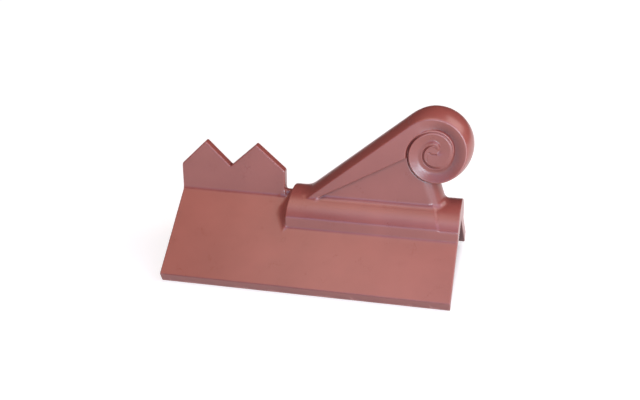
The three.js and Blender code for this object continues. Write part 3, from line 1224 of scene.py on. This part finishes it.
@dataclass(frozen=True)
class ScrollRidgeFinial:
    """The dressed piece: the fine skin of the casting, and its clay."""

    mesher: Mesher
    triangles: int = 180_000
    first_move: float = 0.6
    last_move: float = 0.35
    cavity_reach: float = 5.0
    edge_reach: float = 2.2

    def to_frame(self, points: np.ndarray) -> np.ndarray:
        """Moves points from the piece's own frame to the shared one.

        Args:
            points: Places in millimetres.

        Returns:
            Places in metres.
        """
        low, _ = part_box(NODE)
        start = -self.mesher.casting.saddle.tile.length / 2.0
        return points * METRE + np.array([low.x - start * METRE, 0.0, low.z])

    def shell(self) -> tuple[np.ndarray, np.ndarray]:
        """Draws the skin and thins it where it is plain.

        Returns:
            Its vertices in millimetres and its triangles.
        """
        lines = self.mesher.lines()
        vertices, quads = self.mesher.net(lines, self.mesher.sample(*lines))
        vertices = self.mesher.settle(vertices, self.first_move)
        log.info("skin has %d vertices and %d faces before thinning", len(vertices), len(quads))
        mesh = bpy.data.meshes.new("dense_skin")
        mesh.from_pydata(vertices.tolist(), [], quads.tolist())
        dense = bpy.data.objects.new("dense_skin", mesh)
        bpy.context.scene.collection.objects.link(dense)
        thinner = dense.modifiers.new("thin", "DECIMATE")
        thinner.ratio = min(1.0, self.triangles / (2.0 * len(quads)))
        thinner.use_collapse_triangulate = True
        bpy.context.view_layer.update()
        thin = bpy.data.meshes.new_from_object(dense.evaluated_get(bpy.context.evaluated_depsgraph_get()))
        places = np.empty(len(thin.vertices) * 3)
        thin.vertices.foreach_get("co", places)
        thin.calc_loop_triangles()
        corners = np.empty(len(thin.loop_triangles) * 3, dtype=np.int32)
        thin.loop_triangles.foreach_get("vertices", corners)
        bpy.data.objects.remove(dense)
        bpy.data.meshes.remove(mesh)
        bpy.data.meshes.remove(thin)
        places = self.mesher.settle(places.reshape(-1, 3), self.last_move)
        return places, corners.reshape(-1, 3)

    def build(self) -> bpy.types.Object:
        """Makes the skin, with its own normals and the three shares that its clay reads.

        Returns:
            The piece's object.
        """
        vertices, triangles = self.shell()
        slope = self.mesher.slope_at(vertices)
        normals = slope / np.maximum(np.linalg.norm(slope, axis=1, keepdims=True), TINY)
        over = self.mesher.field_at(vertices + normals * self.cavity_reach)
        under = self.mesher.field_at(vertices - normals * self.edge_reach)
        mesh = bpy.data.meshes.new("finial_skin")
        mesh.from_pydata(self.to_frame(vertices).tolist(), [], triangles.tolist())
        mesh.polygons.foreach_set("use_smooth", np.ones(len(mesh.polygons), dtype=bool))
        wear_and_highlight = self.mesher.casting.wear_and_highlight(*vertices.T)
        # hollow: painted shade in hollows and creases; arris: paler arrises, rubbed at the chips and painted
        # highlight elsewhere; shade: painted shade.
        shares = {
            "hollow": np.clip(1.0 - over / self.cavity_reach, 0.0, 1.0),
            "arris": np.clip(1.0 + under / self.edge_reach + wear_and_highlight, 0.0, 1.0),
            "shade": self.mesher.casting.painted_shade_share(*vertices.T),
        }
        for name, share in shares.items():
            mesh.attributes.new(name, "FLOAT", "POINT").data.foreach_set("value", share)
        mesh.normals_split_custom_set_from_vertices(normals.tolist())
        mesh.validate()
        piece = bpy.data.objects.new("scroll_finial_skin", mesh)
        bpy.context.scene.collection.objects.link(piece)
        return piece

    def dress(self, piece: bpy.types.Object, finish: "Clay") -> None:
        """Gives the piece its clay, and ties it to the frame.

        Args:
            piece: The piece's object.
            finish: The clay.
        """
        piece.data.materials.append(finish.material())
        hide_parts(NODE)
        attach(piece, BODY)


class Mode(Enum):
    """Kinds of arithmetic node."""

    ADD = "ADD"
    SUBTRACT = "SUBTRACT"
    MULTIPLY = "MULTIPLY"
    DIVIDE = "DIVIDE"
    MINIMUM = "MINIMUM"
    MAXIMUM = "MAXIMUM"


class Value:
    """A shader socket that takes part in arithmetic."""

    def __init__(self, tree: "Tree", socket: bpy.types.NodeSocket) -> None:
        """Wraps a socket of a tree."""
        self.tree = tree
        self.socket = socket

    def joined(self, mode: Mode, other: "Value | float", swap: bool = False) -> "Value":
        """A Math node on this value and another.

        Args:
            mode: The operation.
            other: The second value.
            swap: Whether the other value comes first.

        Returns:
            The node's result.
        """
        pair = (other, self) if swap else (self, other)
        node = self.tree.node("ShaderNodeMath", {"operation": mode.value}, {0: pair[0], 1: pair[1]})
        return Value(self.tree, node.outputs[0])

    def __add__(self, other: "Value | float") -> "Value":
        """This value plus another."""
        return self.joined(Mode.ADD, other)

    __radd__ = __add__

    def __sub__(self, other: "Value | float") -> "Value":
        """This value less another."""
        return self.joined(Mode.SUBTRACT, other)

    def __rsub__(self, other: "Value | float") -> "Value":
        """Another value less this one."""
        return self.joined(Mode.SUBTRACT, other, swap=True)

    def __mul__(self, other: "Value | float") -> "Value":
        """This value times another."""
        return self.joined(Mode.MULTIPLY, other)

    __rmul__ = __mul__

    def __truediv__(self, other: "Value | float") -> "Value":
        """This value over another."""
        return self.joined(Mode.DIVIDE, other)

    def clamped(self) -> "Value":
        """This value, held between 0 and 1."""
        return self.joined(Mode.MAXIMUM, 0.0).joined(Mode.MINIMUM, 1.0)

    def between(self, low: float, high: float) -> "Value":
        """Where this value stands between low and high, from 0 to 1."""
        return ((self - low) / (high - low)).clamped()


class Tree:
    """A material's nodes."""

    def __init__(self, name: str) -> None:
        """Starts a material with an empty tree.

        Args:
            name: The material's name.
        """
        self.material = bpy.data.materials.new(name)
        self.material.use_nodes = True
        self.nodes = self.material.node_tree.nodes
        self.links = self.material.node_tree.links
        self.nodes.clear()

    def node(self, kind: str, settings: dict[str, object], inputs: dict[int | str, object]) -> bpy.types.Node:
        """One node, set up and linked.

        Args:
            kind: The node's type.
            settings: Its settings, by name.
            inputs: Values or links of its sockets, by name or number.

        Returns:
            The node.
        """
        node = self.nodes.new(kind)
        for name, setting in settings.items():
            setattr(node, name, setting)
        for name, given in inputs.items():
            if isinstance(given, Value):
                self.links.new(given.socket, node.inputs[name])
            elif isinstance(given, bpy.types.NodeSocket):
                self.links.new(given, node.inputs[name])
            else:
                node.inputs[name].default_value = given
        return node

    def attribute(self, name: str) -> Value:
        """A number that the mesh carries."""
        return Value(self, self.node("ShaderNodeAttribute", {"attribute_name": name}, {}).outputs["Fac"])

    def noise(
        self, place: bpy.types.NodeSocket, scale: float, detail: float, roughness: float = 0.5
    ) -> Value:
        """Cloudy noise round one half, at a scale per metre; roughness weighs its finer octaves."""
        inputs = {"Vector": place, "Scale": scale, "Detail": detail, "Roughness": roughness}
        return Value(self, self.node("ShaderNodeTexNoise", {}, inputs).outputs["Fac"])

    def mix(self, share: Value | float, start: object, end: object) -> bpy.types.NodeSocket:
        """A colour that goes from the start to the end as the share goes from 0 to 1."""
        node = self.node("ShaderNodeMix", {"data_type": "RGBA"}, {0: share, 6: start, 7: end})
        return node.outputs[2]


@dataclass(frozen=True)
class Clay:
    """Fired red clay with a soft satin skin."""

    light: Colour = (0.300, 0.080, 0.060, 1.0)
    dark: Colour = (0.250, 0.063, 0.047, 1.0)
    # Painted shade: the dark colour that hollows, creases and grooves darken towards.
    deep: Colour = (0.10, 0.015, 0.012, 1.0)
    # Painted shade: the colour that the open underside, the feet's faces and the sunk outer band darken
    # towards.
    painted_shade_colour: Colour = (0.095, 0.018, 0.016, 1.0)
    # Pale colour of rubbed chips, also used as painted highlight along arrises and the carving's edges.
    wear_and_highlight: Colour = (0.44, 0.190, 0.165, 1.0)
    roughness: float = 0.29
    sheen: float = 0.8
    grain_depth: float = 0.00012
    cloud_scale: float = 9.0
    patch_scale: float = 38.0
    pore_scale: float = 260.0
    grain_scale: float = 900.0
    tone_span: Span = (0.36, 0.66)
    hollow_shade_span: Span = (0.3, 1.0)
    hollow_shade_strength: float = 0.85
    arris_highlight_span: Span = (0.25, 0.8)
    rough_shade: float = 0.5
    rough_noise: float = 0.06

    def material(self) -> bpy.types.Material:
        """Builds the clay's nodes.

        Returns:
            The material.
        """
        tree = Tree("fired_red_clay")
        place = tree.node("ShaderNodeTexCoord", {}, {}).outputs["Object"]
        clouds = tree.noise(place, self.cloud_scale, 3.0)
        patches = tree.noise(place, self.patch_scale, 2.0)
        grain = tree.noise(place, self.grain_scale, 3.0, 0.6)
        pores = tree.noise(place, self.pore_scale, 2.0)
        hollow, arris, shade = (tree.attribute(name) for name in ("hollow", "arris", "shade"))
        tone = (clouds * 0.8 + patches * 0.2).between(*self.tone_span)
        colour = tree.mix(tone, self.dark, self.light)
        # Painted shade from the shade share.
        colour = tree.mix(shade.clamped(), colour, self.painted_shade_colour)
        # Painted shade in hollows and creases, from the cavity share.
        hollow_shade = hollow.between(*self.hollow_shade_span) * self.hollow_shade_strength
        colour = tree.mix(hollow_shade.clamped(), colour, self.deep)
        # Paler arrises: rubbed chips, and painted highlight along the arrises and the carving's edges.
        wear_and_highlight_share = arris.between(*self.arris_highlight_span) * (0.5 + 0.4 * patches)
        colour = tree.mix(wear_and_highlight_share.clamped(), colour, self.wear_and_highlight)
        uneven = self.rough_noise * (patches - 0.5) + self.rough_noise * (grain - 0.5)
        roughness = (self.roughness + self.rough_shade * shade + uneven).clamped()
        height = grain * 0.35 + pores * 0.5 + patches * 0.5
        settings = {"Strength": 0.6, "Distance": self.grain_depth, "Height": height}
        bump = tree.node("ShaderNodeBump", {}, settings)
        shader = tree.node(
            "ShaderNodeBsdfPrincipled",
            {},
            {
                "Base Color": colour,
                "Roughness": roughness,
                "Normal": bump.outputs["Normal"],
                "IOR": 1.5,
                "Specular IOR Level": self.sheen,
            },
        )
        tree.node("ShaderNodeOutputMaterial", {}, {"Surface": shader.outputs["BSDF"]})
        return tree.material


@dataclass(frozen=True)
class SoftBox:
    """A square area light that points at the piece."""

    name: str
    azimuth: float
    elevation: float
    distance: float
    size: float
    power: float
    colour: tuple[float, float, float]

    def build(self, target: Vector) -> None:
        """Puts the light in place.

        Args:
            target: The point that it faces.
        """
        away = bearing(self.azimuth, self.elevation)
        data = bpy.data.lights.new(self.name, "AREA")
        data.size = self.size
        data.energy = self.power
        data.color = self.colour
        light = bpy.data.objects.new(self.name, data)
        light.location = target + away * self.distance
        light.rotation_euler = away.to_track_quat("Z", "Y").to_euler()
        bpy.context.scene.collection.objects.link(light)


@dataclass(frozen=True)
class Studio:
    """Pale floor, soft lights and the camera at the photograph's viewing angle."""

    azimuth: float = 12.671
    elevation: float = 22.85
    distance: float = 1564.627
    focal_pixels: float = 984.401
    image_width: float = 640.0
    sensor: float = 36.0
    aim: tuple[float, float, float] = (0.729, 0.0, 106.511)
    floor_size: float = 12.0
    floor_white: float = 0.5
    glow_near: float = 0.70
    glow_far: float = 0.97
    glow_centre: float = -0.5
    glow_reach: Span = (0.3, 2.3)
    shade_inset: float = 0.012
    shade_soft: float = 0.02
    world: Colour = (0.05, 0.05, 0.06, 1.0)
    lights: tuple[SoftBox, ...] = field(
        default_factory=lambda: (
            SoftBox("window_right", 46.0, 8.0, 1.8, 0.7, 5.0, (0.70, 0.80, 1.0)),
            SoftBox("window_front", 19.0, 1.0, 1.9, 0.55, 16.5, (0.66, 0.86, 1.0)),
            SoftBox("left_front", -8.0, 6.0, 1.9, 0.8, 4.5, (0.10, 0.50, 1.0)),
            SoftBox("front_mid", 30.0, 30.0, 1.9, 1.0, 2.0, (0.10, 0.20, 1.0)),
            SoftBox("front_high", 10.0, 48.0, 1.8, 1.2, 5.5, (0.55, 0.70, 1.0)),
            SoftBox("key_right", 58.0, 34.0, 1.6, 1.1, 7.4, (0.90, 0.74, 0.93)),
            SoftBox("right_high", 95.0, 45.0, 1.7, 1.2, 12.5, (1.0, 0.84, 0.80)),
            SoftBox("top_front", 5.0, 68.0, 1.7, 1.3, 7.4, (1.0, 0.82, 0.74)),
            SoftBox("left_top", -60.0, 62.0, 1.7, 1.2, 5.8, (1.0, 0.54, 0.38)),
        )
    )

    def build_camera(self, finial: ScrollRidgeFinial) -> None:
        """Adds the camera.

        Args:
            finial: The piece that it looks at.
        """
        target = Vector(finial.to_frame(np.array(self.aim)))
        back = bearing(self.azimuth, self.elevation)
        data = bpy.data.cameras.new("studio_camera")
        data.sensor_width = self.sensor
        data.lens = self.focal_pixels * self.sensor / self.image_width
        camera = bpy.data.objects.new("studio_camera", data)
        camera.location = target + back * self.distance * METRE
        camera.rotation_euler = back.to_track_quat("Z", "Y").to_euler()
        bpy.context.scene.collection.objects.link(camera)
        bpy.context.scene.camera = camera

    def inner(self, place: Value, low: float, high: float) -> Value:
        """How far places on the floor lie between two sides of the piece's box, for the painted shadow under
        it.

        Args:
            place: Places along one axis.
            low: The box's first side.
            high: The box's second side.

        Returns:
            0 beyond the sides and 1 well between them.
        """
        first, last = low + self.shade_inset, high - self.shade_inset
        past_last = place.between(last - self.shade_soft, last)
        return place.between(first, first + self.shade_soft) * (1.0 - past_last)

    def glow(self, tree: Tree) -> bpy.types.NodeSocket:
        """The floor's own light: even to the eye with the lamps' light added, and none under the piece, where
        it leaves a painted shadow.

        Args:
            tree: The floor's material.

        Returns:
            The glow's colour.
        """
        place = tree.node("ShaderNodeTexCoord", {}, {}).outputs["Object"]
        centre = (0.0, self.glow_centre, 0.0)
        offset = tree.node("ShaderNodeVectorMath", {"operation": "SUBTRACT"}, {0: place, 1: centre})
        away = tree.node("ShaderNodeVectorMath", {"operation": "LENGTH"}, {0: offset.outputs["Vector"]})
        share = Value(tree, away.outputs["Value"]).between(*self.glow_reach)
        low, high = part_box(NODE)
        apart = tree.node("ShaderNodeSeparateXYZ", {}, {"Vector": place})
        along = self.inner(Value(tree, apart.outputs["X"]), low.x, high.x)
        across = self.inner(Value(tree, apart.outputs["Y"]), low.y, high.y)
        # Painted shadow: the glow falls to black under the piece.
        return tree.mix(along * across, tree.mix(share, grey(self.glow_near), grey(self.glow_far)), grey(0.0))

    def build_floor(self) -> None:
        """Adds the pale floor that the piece stands on."""
        half = self.floor_size / 2.0
        mesh = bpy.data.meshes.new("pale_floor")
        corners = [(-half, -half, 0.0), (half, -half, 0.0), (half, half, 0.0), (-half, half, 0.0)]
        mesh.from_pydata(corners, [], [(0, 1, 2, 3)])
        floor = bpy.data.objects.new("pale_floor", mesh)
        floor.location.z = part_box(NODE)[0].z
        bpy.context.scene.collection.objects.link(floor)
        tree = Tree("pale_floor")
        shader = tree.node(
            "ShaderNodeBsdfPrincipled",
            {},
            {
                "Base Color": grey(self.floor_white),
                "Roughness": 0.9,
                "Emission Color": self.glow(tree),
                "Emission Strength": 1.0,
            },
        )
        tree.node("ShaderNodeOutputMaterial", {}, {"Surface": shader.outputs["BSDF"]})
        mesh.materials.append(tree.material)

    def build_world(self) -> None:
        """Adds the soft light that comes from all round."""
        world = bpy.data.worlds.new("studio")
        world.use_nodes = True
        world.node_tree.nodes["Background"].inputs["Color"].default_value = self.world
        bpy.context.scene.world = world
        bpy.context.scene.view_settings.view_transform = "Standard"

    def build(self, finial: ScrollRidgeFinial) -> None:
        """Adds the camera, floor, world and lights round the piece.

        Args:
            finial: The piece.
        """
        self.build_camera(finial)
        self.build_floor()
        self.build_world()
        target = Vector(finial.to_frame(np.array(self.aim)))
        for light in self.lights:
            light.build(target)


def main() -> None:
    """Builds the piece and its studio in order."""
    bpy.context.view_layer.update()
    saddle = Saddle(RidgeTile())
    casting = Casting(Scroll(Relief(Coil(saddle))), Comb(saddle.tile))
    finial = ScrollRidgeFinial(Mesher(casting))
    Studio().build(finial)
    piece = finial.build()
    finial.dress(piece, Clay())
    log.info("%s: %d vertices, %d triangles", piece.name, len(piece.data.vertices), len(piece.data.polygons))


if __name__ == "__main__":
    logging.basicConfig(level=logging.INFO)
    main()
